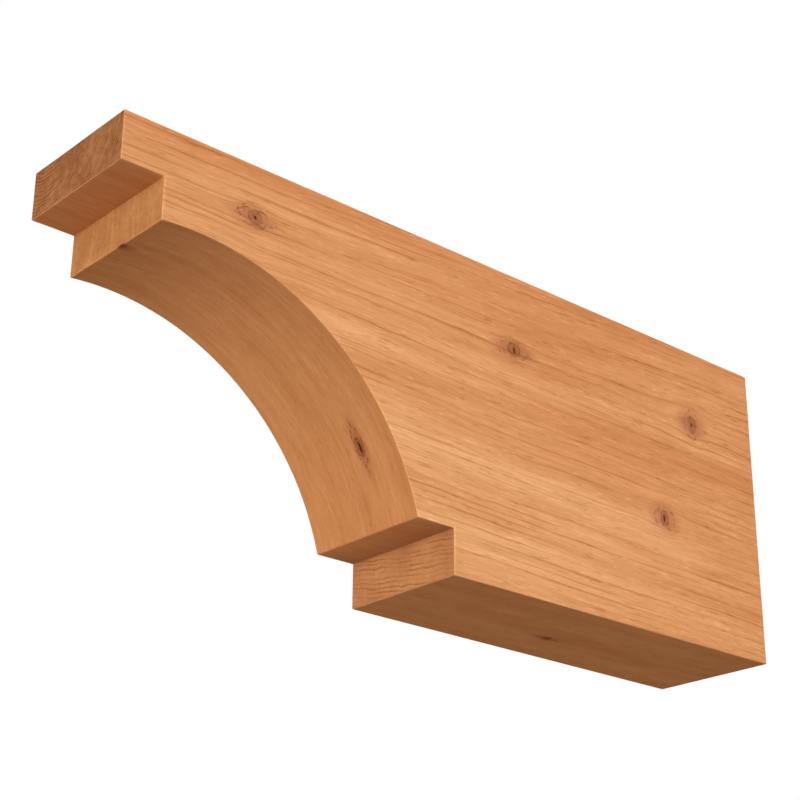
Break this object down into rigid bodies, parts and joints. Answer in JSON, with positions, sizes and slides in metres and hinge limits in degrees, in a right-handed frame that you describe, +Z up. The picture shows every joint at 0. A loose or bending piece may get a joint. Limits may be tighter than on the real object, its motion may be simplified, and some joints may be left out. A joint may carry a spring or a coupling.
{
  "type": "rafter tail",
  "caption": "Solid timber rafter tail with a square nose, stepped fillets and a deep cove on its lower front, and a flat heel running back to the wall.",
  "frame": {"origin": "centre of the flat back face, which is planted on the wall", "axes": "+Y out of the back face, into the wall, so the tail reaches out along -Y; +Z up; X across the width"},
  "size_m": [0.0888, 0.508, 0.2032],
  "materials": {
    "cedar": "smooth sanded, unpainted, satin"
  },
  "bodies": {
    "root": {"rafter_tail": "cedar"}
  },
  "joints": []
}
